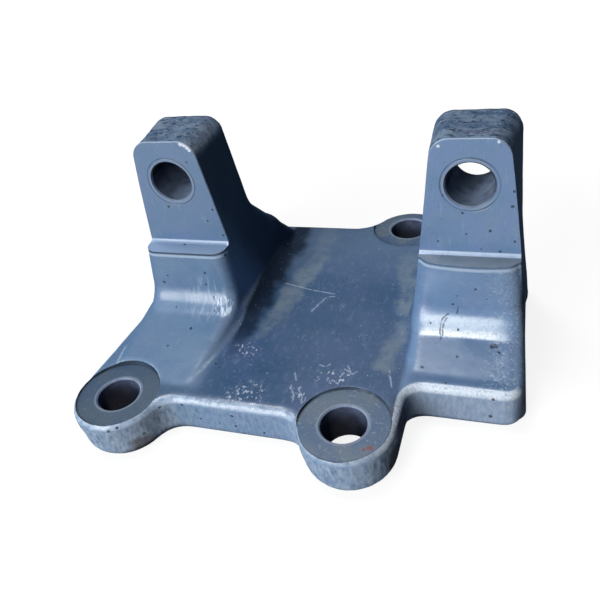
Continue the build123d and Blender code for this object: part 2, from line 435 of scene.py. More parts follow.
def faired(mesh, points):
    """Points with the voxel steps evened out and tight inner corners rounded."""
    pull = neighbour_pull(mesh)
    for _ in range(FAIRING_ROUNDS):
        points = points + STEP_IN * pull(points)
        points = points - STEP_OUT * pull(points)
    for _ in range(CORNER_ROUNDS):
        outward = normals_at(mesh, points)
        for _ in range(CORNER_STEPS):
            step = pull(points)
            hollow = np.sum(step * outward, axis=1)
            points = points + STEP_IN * fade(hollow, *CORNER_HOLLOW)[:, None] * step
    return points


def set_back_foot(points):
    """Sets the wall of the right foot back under its ledge, in place."""
    x, y, z = points.T
    across = (x - FOOT_MIDDLE) / FOOT_HALF
    high = fade(z, *FOOT_RISE) * fade(z, *FOOT_FALL)
    front = fade(y, *FOOT_FRONT) * (x > FOOT_INSIDE)
    y += (FOOT_SET_BACK + FOOT_SIDES_SET_BACK * across ** 2) * high * front


def draft_front_lugs(points):
    """Leans the walls of the front lugs in towards their foot, in place."""
    nearest, farthest = LUG_WALL_REACH
    for centre in HOLES[:2]:
        away = points[:, :2] - centre
        reach = np.hypot(away[:, 0], away[:, 1])
        away = away / np.maximum(reach, 1)[:, None]
        facing = np.clip(away @ LUG_DRAFT_WAY, 0, 1) ** 3 * (reach > nearest) * (reach < farthest)
        inset = LUG_DRAFT * facing * fade(points[:, 2], LUG_DRAFT_TOP, 0)
        points[:, :2] -= away * inset[:, None]


def raise_hump(points):
    """Raises the hump on the gusset behind the left ear, in place."""
    off_middle = np.linalg.norm((points - HUMP) / HUMP_REACH, axis=1)
    height = HUMP_HEIGHT * fade(off_middle, 1, 0) ** 0.7
    points += np.array(HUMP_WAY) * height[:, None]


def grain_at(place, grain):
    """Height of a grain at a place."""
    height, sizes = grain
    return height * noise.noise(Vector([value / size for value, size in zip(place, sizes)]))


def unevenness(place):
    """How far the forged skin stands out at a place, in millimetres."""
    shift = Vector(WAVES_SHIFT)
    height = sum(high * noise.noise(place / size + shift) for high, size in SKIN_WAVES)
    if place.z > EAR_TOP_LOW and place.y > EAR_TOP_FRONT:
        height += grain_at(place, EAR_TOP_GRAIN)
    elif place.z < LUG_WALL_HIGH and place.y < LUG_WALL_BACK:
        height += grain_at(place, LUG_WALL_GRAIN)
    return height


def forge_skin(piece):
    """Evens out the remeshed skin, adds its small forms and makes it slightly uneven."""
    mesh = piece.data
    points = faired(mesh, read_points(mesh))
    set_back_foot(points)
    draft_front_lugs(points)
    raise_hump(points)
    outward = normals_at(mesh, points)
    height = np.array([unevenness(Vector(point)) for point in points])
    points = points + outward * (height * fade(points[:, 2], *WAVES_EASE))[:, None]
    low = np.array(cad_low) / MM + SKIN_GAP
    low[2] = -CUT_BELOW
    high = np.array(cad_high) / MM - SKIN_GAP
    write_points(mesh, np.clip(points, low, high))


# The machining

def cut(piece, cutter):
    bake_modifier(piece, "BOOLEAN", operation="DIFFERENCE", solver="MANIFOLD", object=cutter)
    remove(cutter)


def drill_profile(start, length, radius, chamfer, seat_radius, seat_depth):
    """Outline of a chamfered hole from its start, with a wider seat behind it."""
    mouth = radius + chamfer + DRILL_LEAD
    return [
        (start, mouth),
        (-DRILL_LEAD, mouth),
        (chamfer, radius),
        (length - chamfer, radius),
        (length, radius + chamfer),
        (length, seat_radius),
        (length + seat_depth, seat_radius),
    ]


def machine(piece):
    """Cuts the underside, the ear faces with their ledges, the bores and the bolt holes."""
    reach = CUT_REACH
    below = [(-reach, SKIN_GAP), (reach, SKIN_GAP), (reach, -CUT_BELOW), (-reach, -CUT_BELOW)]
    cut(piece, prism_along_x("base", below, -reach, reach))
    arc = []
    for step in range(ARC_STEPS + 1):
        turn = math.radians(90 * step / ARC_STEPS)
        y = -LEDGE_RADIUS + LEDGE_RADIUS * math.cos(turn)
        z = LEDGE + LEDGE_RADIUS - LEDGE_RADIUS * math.sin(turn)
        arc.append((y, z))
    outline = [(0, MILL_TOP), *arc, (-MILL_FRONT, LEDGE), (-MILL_FRONT, MILL_TOP)]
    cut(piece, prism_along_x("mill", outline, -reach, reach))
    bore = drill_profile(BORE_START, SEAT_BACK, BORE_RADIUS, BORE_CHAMFER, SEAT_RADIUS, SEAT_CUT)
    for side in (-1, 1):
        cut(piece, lathe("drill", bore, (side * EAR_X, BORE_HEIGHT), True))
    hole = drill_profile(HOLE_START, SPOT_HEIGHT, HOLE_RADIUS, HOLE_CHAMFER, SPOT_RADIUS, SPOT_DEPTH)
    for centre in HOLES:
        cut(piece, lathe("drill", hole, centre, False))


# Which finish each face has

FORGED, MILLED, SPOTTED, DRILLED, MARKED = range(5)


def ear_kind(face, centre, corners):
    """Finish of a face from the ledges up."""
    high = max(corner.z for corner in corners)
    bore = min(math.hypot(abs(corner.x) - EAR_X, corner.z - BORE_HEIGHT) for corner in corners)
    facing = face.normal.y
    if max(abs(corner.y) for corner in corners) < EXACT:
        return MILLED
    if centre.y < EXACT and high < LEDGE + LEDGE_RADIUS + CLOSE and abs(face.normal.x) < 0.2:
        return MILLED
    if bore < BORE_RADIUS + BORE_CHAMFER + NEAR and -0.1 < centre.y < SEAT_BACK + CLOSE:
        return DRILLED
    if bore < SEAT_RADIUS + NEAR and centre.y > SEAT_BACK - CLOSE and facing < 0.2:
        return SPOTTED if abs(facing) < 0.5 else MILLED
    if abs(facing - 1) < EXACT and max(abs(corner.y - SEAT_BACK) for corner in corners) < CLOSE:
        return MILLED
    return FORGED


def surface_kind(face):
    """Which finish a face has, from where it lies."""
    centre = face.calc_center_median() / MM
    corners = [vert.co / MM for vert in face.verts]
    if centre.z > LEDGE - CLOSE:
        return ear_kind(face, centre, corners)
    low = min(corner.z for corner in corners)
    high = max(corner.z for corner in corners)
    reach = max(min(math.hypot(corner.x - x, corner.y - y) for x, y in HOLES) for corner in corners)
    if reach < HOLE_RADIUS + HOLE_CHAMFER + NEAR and high < SPOT_HEIGHT + CLOSE:
        if face.normal.z > -0.99 or high > NEAR:
            return DRILLED
    if reach < SPOT_RADIUS + NEAR and low > SPOT_HEIGHT - CLOSE:
        return SPOTTED
    return FORGED


def mark_points():
    """Points close together along all the marks of the forged skin."""
    points = [Vector(pit[:3]) for pit in FORGED_PITS]
    for chain in DARK_STROKES + PALE_STROKES:
        for start, end in zip(chain, chain[1:]):
            steps = 1 + int((Vector(end) - Vector(start)).length)
            points += [Vector(start).lerp(Vector(end), step / steps) for step in range(steps + 1)]
    return points


def finish_surface(piece):
    """Gives each face its material and keeps the borders of the cut faces sharp."""
    shape = bmesh.new()
    shape.from_mesh(piece.data)
    bmesh.ops.dissolve_degenerate(shape, dist=0.001 * MM, edges=shape.edges)
    points = mark_points()
    marks = KDTree(len(points))
    for index, point in enumerate(points):
        marks.insert(point, index)
    marks.balance()
    for face in shape.faces:
        face.material_index = surface_kind(face)
        face.smooth = True
    for edge in shape.edges:
        kinds = {face.material_index for face in edge.link_faces}
        on_floor = all(vert.co.z < NEAR * MM for vert in edge.verts)
        if len(kinds) > 1 or on_floor:
            edge.smooth = False
        elif kinds != {FORGED} and len(edge.link_faces) == 2:
            edge.smooth = edge.calc_face_angle(0) < math.radians(25)
    for face in shape.faces:
        to_mark = marks.find(face.calc_center_median() / MM)[2]
        if face.material_index == FORGED and to_mark < MARK_REACH:
            face.material_index = MARKED
    shape.to_mesh(piece.data)
    shape.free()


# Materials

class Paint:
    """A material being built from nodes, with positions in millimetres."""

    def __init__(self, name, gloss=0.6):
        self.material = bpy.data.materials.new(name)
        self.material.use_nodes = True
        self.tree = self.material.node_tree
        self.tree.nodes.clear()
        self.shader = self.node("ShaderNodeBsdfPrincipled")
        output = self.node("ShaderNodeOutputMaterial")
        self.link(self.shader.outputs[0], output.inputs["Surface"])
        coordinates = self.node("ShaderNodeTexCoord")
        scale = self.node("ShaderNodeVectorMath", operation="SCALE")
        scale.inputs["Scale"].default_value = 1 / MM
        self.link(coordinates.outputs["Object"], scale.inputs[0])
        self.place = scale.outputs[0]
        self.x, self.y, self.z = self.split(self.place)
        self.facing_z = self.split(coordinates.outputs["Normal"])[2]
        facing = self.node("ShaderNodeLayerWeight")
        facing.inputs["Blend"].default_value = 0.5
        self.shine = self.ramp(facing.outputs["Facing"], 0.15, 0.5, gloss, 0.0)

    def node(self, kind, **settings):
        made = self.tree.nodes.new(kind)
        for key, value in settings.items():
            setattr(made, key, value)
        return made

    def link(self, source, target):
        self.tree.links.new(source, target)

    def put(self, value, socket):
        """Links a socket, or sets a plain value."""
        if isinstance(value, bpy.types.NodeSocket):
            self.link(value, socket)
        else:
            socket.default_value = value

    def split(self, vector):
        made = self.node("ShaderNodeSeparateXYZ")
        self.link(vector, made.inputs[0])
        return made.outputs

    def math(self, operation, *values, clamp=False):
        made = self.node("ShaderNodeMath", operation=operation, use_clamp=clamp)
        for value, socket in zip(values, made.inputs):
            self.put(value, socket)
        return made.outputs[0]

    def vector(self, operation, *values, result=0):
        made = self.node("ShaderNodeVectorMath", operation=operation)
        for value, socket in zip(values, made.inputs):
            self.put(value, socket)
        return made.outputs[result]

    def noise(self, size, detail=2.0, roughness=0.5, stretch=(1, 1, 1), shift=(0, 0, 0), place=None):
        """Noise from 0 to 1 whose features are about size millimetres across."""
        mapping = self.node("ShaderNodeMapping")
        self.link(place or self.place, mapping.inputs["Vector"])
        mapping.inputs["Scale"].default_value = [1 / (size * value) for value in stretch]
        mapping.inputs["Location"].default_value = shift
        made = self.node("ShaderNodeTexNoise")
        self.link(mapping.outputs[0], made.inputs["Vector"])
        made.inputs["Scale"].default_value = 1
        made.inputs["Detail"].default_value = detail
        made.inputs["Roughness"].default_value = roughness
        return made.outputs[0]

    def ramp(self, value, start, end, low=0.0, high=1.0):
        """Smooth step between two values; start may be the larger one."""
        made = self.node("ShaderNodeMapRange", interpolation_type="SMOOTHSTEP")
        self.put(value, made.inputs["Value"])
        made.inputs["From Min"].default_value = start
        made.inputs["From Max"].default_value = end
        made.inputs["To Min"].default_value = low
        made.inputs["To Max"].default_value = high
        return made.outputs[0]

    def both(self, *shares):
        """Product of the shares."""
        made = shares[0]
        for share in shares[1:]:
            made = self.math("MULTIPLY", made, share)
        return made

    def either(self, *shares):
        """Largest of the shares."""
        made = shares[0]
        for share in shares[1:]:
            made = self.math("MAXIMUM", made, share)
        return made

    def mix(self, share, first, second, kind="RGBA", suffix="Color"):
        """Goes from the first value to the second with the share, for colours or vectors."""
        made = self.node("ShaderNodeMix", data_type=kind)
        sockets = {socket.identifier: socket for socket in made.inputs}
        self.put(share, sockets["Factor_Float"])
        self.put(first, sockets["A_" + suffix])
        self.put(second, sockets["B_" + suffix])
        return next(socket for socket in made.outputs if socket.identifier == "Result_" + suffix)

    def mottled(self, tone, tint, strength, start, end, **pattern):
        """A tone with patches of a tint, where noise of a pattern rises from start to end."""
        share = self.ramp(self.noise(**pattern), start, end, 0, strength)
        return self.mix(share, tone, tint)

    def band(self, value, start, full, fading, end):
        """1 from full to fading, 0 before the start and past the end."""
        return self.both(self.ramp(value, start, full), self.ramp(value, end, fading))

    def reach(self, across, along):
        """Distance from a point, of which both differences are given."""
        squares = [self.math("MULTIPLY", value, value) for value in (across, along)]
        return self.math("SQRT", self.math("ADD", *squares))

    def jittered(self, amount, size):
        """The place, shifted a little to and fro, for ragged outlines."""
        made = self.node("ShaderNodeTexNoise")
        made.inputs["Scale"].default_value = 1 / size
        made.inputs["Detail"].default_value = 2
        self.link(self.place, made.inputs["Vector"])
        centred = self.vector("SUBTRACT", made.outputs["Color"], (0.5, 0.5, 0.5))
        shift = self.vector("MULTIPLY", centred, [2 * amount] * 3)
        return self.vector("ADD", self.place, shift)

    def spots(self, place, spots):
        """1 inside any of the (x, y, z, radius) spots."""
        shares = []
        for *centre, radius in spots:
            away = self.vector("DISTANCE", place, centre, result=1)
            shares.append(self.ramp(away, 1.25 * radius, 0.6 * radius))
        return self.either(*shares)

    def to_segment(self, place, start, end):
        """Distance from the line between two points."""
        span = Vector(end) - Vector(start)
        offset = self.vector("SUBTRACT", place, start)
        along = self.vector("DOT_PRODUCT", offset, tuple(span / span.length_squared), result=1)
        share = self.math("MULTIPLY", along, 1.0, clamp=True)
        nearest = self.node("ShaderNodeVectorMath", operation="SCALE")
        nearest.inputs[0].default_value = span
        self.link(share, nearest.inputs["Scale"])
        return self.vector("DISTANCE", offset, nearest.outputs[0], result=1)

    def strokes(self, place, strokes, width):
        """1 on any of the strokes, each a chain of points."""
        shares = []
        for chain in strokes:
            for start, end in zip(chain, chain[1:]):
                away = self.to_segment(place, start, end)
                shares.append(self.ramp(away, width, 0.35 * width))
        return self.either(*shares)

    def bump(self, height, distance, normal=None):
        """Normals tilted by a height, which is worth a distance in millimetres."""
        made = self.node("ShaderNodeBump")
        self.link(height, made.inputs["Height"])
        made.inputs["Distance"].default_value = distance * MM
        made.inputs["Strength"].default_value = 1.0
        if normal is not None:
            self.link(normal, made.inputs["Normal"])
        return made.outputs[0]

    def soft_edges(self, radius):
        """Normals that round the sharp edges off."""
        made = self.node("ShaderNodeBevel", samples=4)
        made.inputs["Radius"].default_value = radius * MM
        return made.outputs[0]

    def finish(self, tone, rough, normal):
        self.put(tone, self.shader.inputs["Base Color"])
        self.put(rough, self.shader.inputs["Roughness"])
        self.put(self.shine, self.shader.inputs["Specular IOR Level"])
        self.put(normal, self.shader.inputs["Normal"])
        return self.material


def colour(red, green, blue):
    """Linear colour of an sRGB one given from 0 to 255."""
    def linear(value):
        value = value / 255
        return value / 12.92 if value <= 0.04045 else ((value + 0.055) / 1.055) ** 2.4
    return (linear(red), linear(green), linear(blue), 1.0)


def plate_share(paint):
    """1 on the level skin of the plate, between the feet and beyond them."""
    between_feet = paint.band(paint.x, -56, -46, 48, 52)
    past_feet = paint.either(paint.ramp(paint.y, -67, -73), paint.ramp(paint.y, 70, 78))
    beyond_feet = paint.both(past_feet, paint.ramp(paint.x, 55, 50))
    flat = paint.ramp(paint.facing_z, 0.9, 0.985)
    # The sloping hollows between the feet take the plate's darker tone too, as painted shade
    gentle = paint.both(between_feet, paint.ramp(paint.facing_z, 0.25, 0.6))
    level = paint.either(flat, gentle)
    return paint.both(level, paint.either(between_feet, beyond_feet), paint.ramp(paint.z, 34, 25))


def skin_tone(paint):
    """Blue paint over the forging, in soft patches with finer specks."""
    light, mid, dark = colour(112, 142, 179), colour(101, 133, 173), colour(70, 88, 116)
    violet, pale = colour(114, 129, 170), colour(128, 154, 184)
    tone = paint.mottled(mid, light, 1, 0.35, 0.65, size=31, detail=3)
    tone = paint.mottled(tone, violet, 0.5, 0.5, 0.75, size=12, detail=3, shift=(4, 7, 1))
    tone = paint.mottled(tone, pale, 0.55, 0.5, 0.75, size=3.4, detail=4, roughness=0.6)
    return paint.mottled(tone, dark, 0.5, 0.62, 0.74, size=1.7, detail=3, roughness=0.6)


def plate_tone(paint, loose, loose_y):
    """Darker tone of the plate's top, partly dirtier paint and partly painted shade, with pale
    streaks along two lines that are partly wear from rubbing and partly painted reflection, and
    lighter to the back.
    """
    deep, blue, shade = colour(58, 90, 124), colour(72, 96, 134), colour(48, 64, 94)
    grey_blue = colour(104, 124, 158)
    tone = paint.mottled(deep, blue, 1, 0.35, 0.68, size=26, detail=4, roughness=0.6)
    grain = {"size": 2.6, "detail": 4, "roughness": 0.65, "stretch": (1, 2.2, 1)}
    tone = paint.mottled(tone, grey_blue, 0.65, 0.52, 0.74, **grain)
    tone = paint.mottled(tone, shade, 0.6, 0.6, 0.72, size=1.9, detail=3, roughness=0.6)
    # Pale streaks: partly wear from rubbing, partly painted reflection
    rub_and_sheen = paint.strokes(loose, [RUB_AND_SHEEN_LEFT], 9)
    rub_and_sheen = paint.either(rub_and_sheen, paint.strokes(loose, [RUB_AND_SHEEN_RIGHT], 8))
    patchy = paint.ramp(paint.noise(9, 4, 0.6), 0.3, 0.62, 0.25, 0.85)
    rub_and_sheen = paint.both(rub_and_sheen, patchy, paint.ramp(paint.x, -37, -31))
    tone = paint.mix(rub_and_sheen, tone, colour(116, 134, 150))
    return paint.mix(paint.ramp(loose_y, 10, 75, 0, 0.6), tone, colour(110, 134, 164))


def painted_flank_shadow_share(paint, loose_x):
    """1 where shadow is painted on the left ear's inner flank and the hollow below it."""
    leaning = paint.math("ADD", paint.x, paint.math("MULTIPLY", paint.z, 0.15))
    painted_flank_shadow = paint.both(
        paint.ramp(leaning, -43, -41),
        paint.ramp(loose_x, -31, -40),
        paint.ramp(paint.y, -52, -22),
    )
    return paint.both(painted_flank_shadow, paint.ramp(paint.z, 119, 112))


def with_large_areas(paint, tone):
    """Tone with the top of the right toe and the left side of the part in darker blues."""
    toe_top = paint.both(
        paint.ramp(paint.x, 50, 56),
        paint.ramp(paint.facing_z, 0.9, 0.97),
        paint.ramp(paint.z, 36, 30),
    )
    tone = paint.mix(paint.both(toe_top, 0.8), tone, colour(84, 112, 148))
    left_side = paint.both(paint.ramp(paint.x, -44, -54), 0.35)
    return paint.mix(left_side, tone, colour(84, 112, 136))


def with_scuffs(paint, tone, loose, on_plate):
    """Tone with pale flecks, dense in the scuffed spots of the plate and few elsewhere."""
    scuffed = paint.spots(loose, SCUFFS)
    flecks = paint.ramp(paint.noise(1.5, 3, 0.55, (1, 1.6, 1), (3, 1, 8)), 0.56, 0.64)
    scuffed = paint.both(scuffed, on_plate, flecks)
    few = paint.ramp(paint.noise(1.2, 2, 0.5, shift=(9, 2, 5)), 0.70, 0.76)
    few = paint.both(on_plate, few)
    return paint.mix(paint.either(scuffed, few), tone, colour(188, 198, 218))


def ear_top_tone(paint):
    """Scaly skin on top of the ears, with dark pits and pale grains."""
    blue, grey = colour(86, 110, 140), colour(124, 144, 166)
    violet, dark, pale = colour(100, 100, 134), colour(44, 58, 80), colour(178, 192, 212)
    broad = {"size": 7, "detail": 4, "roughness": 0.6, "stretch": (1.8, 1, 1)}
    stains = {"size": 5, "detail": 4, "roughness": 0.6, "shift": (5, 5, 5)}
    pits = {"size": 2.6, "detail": 4, "roughness": 0.7, "stretch": (1.5, 1, 1), "shift": (1, 8, 3)}
    grains = {"size": 1.3, "detail": 3, "roughness": 0.5, "stretch": (1.5, 1, 1), "shift": (6, 2, 4)}
    tone = paint.mottled(blue, grey, 1, 0.38, 0.62, **broad)
    tone = paint.mottled(tone, violet, 0.8, 0.52, 0.7, **stains)
    tone = paint.mottled(tone, dark, 0.85, 0.50, 0.64, **pits)
    return paint.mottled(tone, pale, 0.8, 0.63, 0.72, **grains)


def with_specks(paint, tone, speckled):
    """Tone with pale and dark specks where the paint is speckled."""
    pale_specks = paint.ramp(paint.noise(1.3, 4, 0.6, shift=(2, 2, 2)), 0.5, 0.66)
    tone = paint.mix(paint.both(speckled, pale_specks, 0.7), tone, colour(160, 178, 202))
    dark_specks = paint.ramp(paint.noise(1.2, 3, 0.6, shift=(7, 1, 2)), 0.6, 0.7)
    return paint.mix(paint.both(speckled, dark_specks, 0.75), tone, colour(52, 66, 92))


def with_wall_wear(paint, tone, steep, lug_walls, loose, loose_z):
    """Tone with streaked walls of the lugs and the toe, grey at the floor, soiled in places."""
    streaks = paint.noise(1.8, 4, 0.6, (1, 1, 2.6), (2, 6, 1))
    bare = paint.both(lug_walls, paint.ramp(streaks, 0.3, 0.72, 0.1, 0.75))
    tone = paint.mix(bare, tone, colour(182, 198, 216))
    dull = paint.both(lug_walls, paint.ramp(streaks, 0.40, 0.30, 0, 0.6))
    tone = paint.mix(dull, tone, colour(80, 94, 112))
    low = paint.both(steep, paint.ramp(loose_z, 3, -2), 0.6)
    toe_wall = paint.both(
        steep,
        paint.ramp(paint.x, 46, 60),
        paint.ramp(paint.y, -38, -46),
        paint.ramp(streaks, 0.3, 0.7, 0.3, 0.85),
    )
    tone = paint.mix(toe_wall, tone, colour(166, 184, 208))
    tone = paint.mix(low, tone, colour(112, 112, 112))
    soiled = paint.both(paint.spots(loose, SOILED), 0.75)
    return paint.mix(soiled, tone, colour(66, 54, 52))


def with_rim_and_knee_highlights(paint, tone, loose_x):
    """Tone with painted highlights on the front rims of the plate and on the knee of the right foot.
    """
    rim = paint.band(paint.facing_z, 0.12, 0.4, 0.9, 0.985)
    rim = paint.both(
        rim,
        paint.ramp(paint.y, -44, -50),
        paint.ramp(paint.z, 13, 16),
        paint.ramp(paint.z, 24.5, 23),
    )
    # Patches that break up the painted highlights on the rims and the knee
    worn = paint.ramp(paint.noise(2.6, 4, 0.65, shift=(8, 3, 2)), 0.34, 0.6, 0.3, 0.9)
    fine = paint.ramp(paint.noise(1.3, 4, 0.65, shift=(8, 1, 2)), 0.34, 0.56, 0.2, 1)
    # Painted highlight on the front rims, brightest along the right toe's rim
    tone = paint.mix(paint.both(rim, worn), tone, colour(176, 196, 220))
    toe_rim = paint.both(rim, fine, paint.ramp(paint.x, 42, 52))
    tone = paint.mix(toe_rim, tone, colour(216, 228, 242))
    knee = paint.band(paint.facing_z, 0.3, 0.55, 0.93, 0.97)
    knee = paint.both(
        knee,
        paint.ramp(paint.x, 52, 58),
        paint.ramp(paint.z, 27, 28.5),
        paint.ramp(paint.z, 38, 35),
    )
    knee = paint.both(knee, paint.ramp(loose_x, 98, 84), paint.ramp(paint.y, -9, -12))
    # Painted highlight on the right knee, brightest along its lower line
    knee_painted_highlight = paint.both(knee, paint.ramp(worn, 0.2, 0.8, 0.7, 0.95))
    tone = paint.mix(knee_painted_highlight, tone, colour(174, 198, 226))
    lit_line = paint.both(knee, paint.ramp(paint.z, 31.4, 29.8), fine)
    lit_knee = paint.either(lit_line, paint.both(knee, fine, 0.45))
    return paint.mix(lit_knee, tone, colour(232, 242, 250))


def with_left_highlight_streaks(paint, tone):
    """Tone with fine pale streaks of painted highlight at the left foot."""
    streaky = paint.ramp(paint.noise(1.5, 3, 0.6, (1, 5, 5), (4, 4, 4)), 0.48, 0.6)
    streaked = paint.both(paint.spots(paint.place, LEFT_KNEE_HIGHLIGHT), streaky)
    faint = paint.both(paint.spots(paint.place, LEFT_FOOT_HIGHLIGHT), streaky, 0.22)
    return paint.mix(paint.either(streaked, faint), tone, colour(206, 222, 242))


def with_cut_borders(paint, tone):
    """Tone with a painted shadow line and a painted highlight line under the ledges, and painted
    highlights on the edges of the ear faces.
    """
    # Painted shadow line just under the ledges, and a painted highlight line below it
    painted_shadow_under_ledge = paint.both(paint.ramp(paint.y, -3, -4.5), paint.ramp(paint.z, 61.0, 61.7))
    painted_highlight_under_ledge = paint.both(
        paint.ramp(paint.y, -3, -4.5),
        paint.ramp(paint.z, 59.2, 60.1),
        paint.ramp(paint.z, 61.5, 60.9),
    )
    tone = paint.mix(paint.both(painted_highlight_under_ledge, 0.75), tone, colour(180, 200, 224))
    painted_shadow_under_ledge = paint.both(painted_shadow_under_ledge, paint.ramp(paint.x, -1, 1, 0.85, 0.5))
    tone = paint.mix(painted_shadow_under_ledge, tone, colour(44, 62, 84))
    # Painted highlight on the forged skin along the borders of the ear faces
    edge = paint.both(paint.ramp(paint.y, 1.1, 0.5), paint.ramp(paint.z, 63, 65))
    return paint.mix(paint.both(edge, 0.85), tone, colour(200, 216, 236))


def with_marks(paint, tone, ragged):
    """Tone with scratches, painted highlight streaks on the left knee and pits, and the share of it
    that is sunk.
    """
    broken = paint.ramp(paint.noise(2.5, 3, 0.6, shift=(1, 1, 9)), 0.34, 0.5, 0.15, 1)
    pale_strokes = paint.both(paint.strokes(ragged, PALE_STROKES, 0.6), broken, 0.7)
    tone = paint.mix(pale_strokes, tone, colour(170, 186, 210))
    dark_strokes = paint.both(paint.strokes(ragged, DARK_STROKES, 0.5), broken, 0.75)
    sunk = paint.either(dark_strokes, paint.spots(ragged, FORGED_PITS))
    return paint.mix(paint.both(sunk, 0.9), tone, colour(30, 40, 58)), sunk


def forged_relief(paint, ear_top, lug_walls, speckled):
    """Normals of the skin: fine grain and soft waves, with scale marks where it is rugged."""
    grain = paint.bump(paint.noise(1.2, 3, 0.6), 0.006, paint.soft_edges(0.5))
    waves = paint.bump(paint.noise(6, 2, 0.5), 0.05, grain)
    scale_marks = paint.bump(paint.noise(2.4, 4, 0.65, (1.4, 1, 1)), 0.4, waves)
    rugged = paint.either(ear_top, paint.both(lug_walls, 0.8), paint.both(speckled, 0.5))
    return paint.mix(rugged, waves, scale_marks, "VECTOR", "Vector")


def forged_paint(marked):
    """Painted forging skin; only faces near the marks carry them, as they are slow to render."""
    paint = Paint("forged_marked_paint" if marked else "forged_paint")
    ragged = paint.jittered(0.5, 1.6)
    loose = paint.jittered(9, 16)
    loose_x, loose_y, loose_z = paint.split(loose)
    steep = paint.ramp(paint.facing_z, 0.75, 0.45)
    on_plate = plate_share(paint)
    tone = skin_tone(paint)
    tone = paint.mix(on_plate, tone, plate_tone(paint, loose, loose_y))
    painted_flank_shadow = painted_flank_shadow_share(paint, loose_x)
    # Painted shadow: dark paint on the left ear's inner flank and the hollow below it
    tone = paint.mix(paint.both(painted_flank_shadow, 0.8), tone, colour(24, 33, 50))

    # The marked paint is near the largest that the renderer takes, so it keeps its shine
    if not marked:
        paint.shine = paint.both(paint.shine, paint.ramp(painted_flank_shadow, 0, 1, 1, 0.05))
    tone = with_large_areas(paint, tone)
    tone = with_scuffs(paint, tone, loose, on_plate)
    ear_top = paint.both(paint.ramp(paint.z, 112, 120), paint.ramp(paint.y, 0.6, 2.2))
    tone = paint.mix(ear_top, tone, ear_top_tone(paint))
    speckled = paint.both(paint.ramp(loose_x, 78, 94), paint.ramp(paint.y, -2, -6))
    tone = with_specks(paint, tone, speckled)
    lug_walls = paint.both(steep, paint.ramp(paint.y, -76, -82), paint.ramp(paint.z, 21, 17))
    tone = with_wall_wear(paint, tone, steep, lug_walls, loose, loose_z)
    tone = with_rim_and_knee_highlights(paint, tone, loose_x)
    tone = with_left_highlight_streaks(paint, tone)
    tone = with_cut_borders(paint, tone)
    if marked:
        tone, sunk = with_marks(paint, tone, ragged)
    rough = paint.ramp(paint.noise(8, 3), 0.3, 0.7, 0.22, 0.34)
    normal = forged_relief(paint, ear_top, lug_walls, speckled)
    if marked:
        normal = paint.bump(paint.math("SUBTRACT", 1.0, sunk), 0.4, normal)
    return paint.finish(tone, rough, normal)


def ledge_tone(paint):
    """Greyer paint on the right ledge, bluer on the left, with a painted highlight in the corner
    above it.
    """
    blue, grey = colour(124, 142, 158), colour(136, 148, 166)
    tone = paint.mottled(blue, grey, 1, 0.35, 0.65, size=10, detail=3)
    tone = paint.mix(paint.ramp(paint.x, 0, 1), colour(146, 170, 202), tone)
    # Painted highlight in the rounded corner of the ledge, stronger on the right
    hollow = paint.band(paint.facing_z, 0.15, 0.35, 0.93, 0.99)
    broken = paint.ramp(paint.noise(7, 4, 0.6, shift=(2, 2, 7)), 0.3, 0.6, 0.65, 1)
    corner_painted_highlight = paint.both(hollow, broken, paint.ramp(paint.x, -1, 1, 0.1, 1.0))
    return paint.mix(corner_painted_highlight, tone, colour(186, 208, 236))


def milled_paint():
    """Thin paint on the milled ear faces and ledges, with a worn ring round each bore."""
    paint = Paint("milled_paint")
    ragged = paint.jittered(0.4, 1.4)
    light, mid, dark = colour(114, 140, 182), colour(104, 137, 174), colour(78, 98, 128)
    grey, pale = colour(118, 144, 172), colour(150, 170, 194)
    brushed = {"size": 1.3, "detail": 3, "roughness": 0.6, "stretch": (1, 1, 7), "shift": (3, 3, 3)}
    tone = paint.mottled(mid, light, 1, 0.35, 0.65, size=22, detail=3)
    tone = paint.mottled(tone, grey, 0.5, 0.5, 0.72, size=9, detail=3, shift=(2, 9, 4))
    tone = paint.mottled(tone, dark, 0.35, 0.60, 0.70, size=1.6, detail=3)
    tone = paint.mottled(tone, pale, 0.4, 0.56, 0.70, **brushed)

    across = paint.math("SUBTRACT", paint.math("ABSOLUTE", paint.x), EAR_X)
    rise = paint.math("SUBTRACT", paint.z, BORE_HEIGHT)
    reach = paint.reach(across, rise)
    worn_arc = paint.ramp(paint.noise(12, 2, shift=(1, 5, 9)), 0.35, 0.6, 0.2, 0.9)
    ring = paint.band(reach, 12.9, 13.3, 13.5, 13.9)
    tone = paint.mix(paint.ramp(paint.x, 1, -1, 0, 0.35), tone, colour(86, 108, 130))
    polished = paint.both(paint.ramp(reach, 13.1, 12.7), paint.ramp(reach, 11.4, 11.9))
    tone = paint.mix(paint.both(polished, worn_arc, 0.45), tone, colour(150, 168, 190))
    tone = paint.mix(paint.both(ring, worn_arc), tone, colour(72, 86, 110))

    on_ledge = paint.ramp(paint.facing_z, 0.1, 0.3)
    tone = paint.mix(on_ledge, tone, ledge_tone(paint))
    chips = paint.spots(ragged, CORNER_CHIPS)
    chips = paint.either(chips, paint.spots(ragged, FACE_CHIPS))
    tone = paint.mix(chips, tone, colour(226, 236, 248))
    pits = paint.spots(ragged, FACE_PITS)
    tone = paint.mix(paint.both(pits, 0.85), tone, colour(30, 38, 54))

    lines = paint.bump(paint.noise(0.8, 2, 0.5, (30, 1, 1)), 0.02, paint.soft_edges(0.5))
    waves = paint.bump(paint.noise(7, 2), 0.08, lines)
    sunk = paint.either(pits, paint.both(ring, 0.5))
    normal = paint.bump(paint.math("SUBTRACT", 1.0, sunk), 0.4, waves)
    return paint.finish(tone, paint.ramp(paint.noise(10, 3), 0.3, 0.7, 0.27, 0.38), normal)


def from_nearest(paint, value, first, last):
    """Difference of a value to the nearer one of two places."""
    middle, half = (first + last) / 2, (last - first) / 2
    off_middle = paint.math("ABSOLUTE", paint.math("SUBTRACT", value, middle))
    return paint.math("SUBTRACT", off_middle, half)


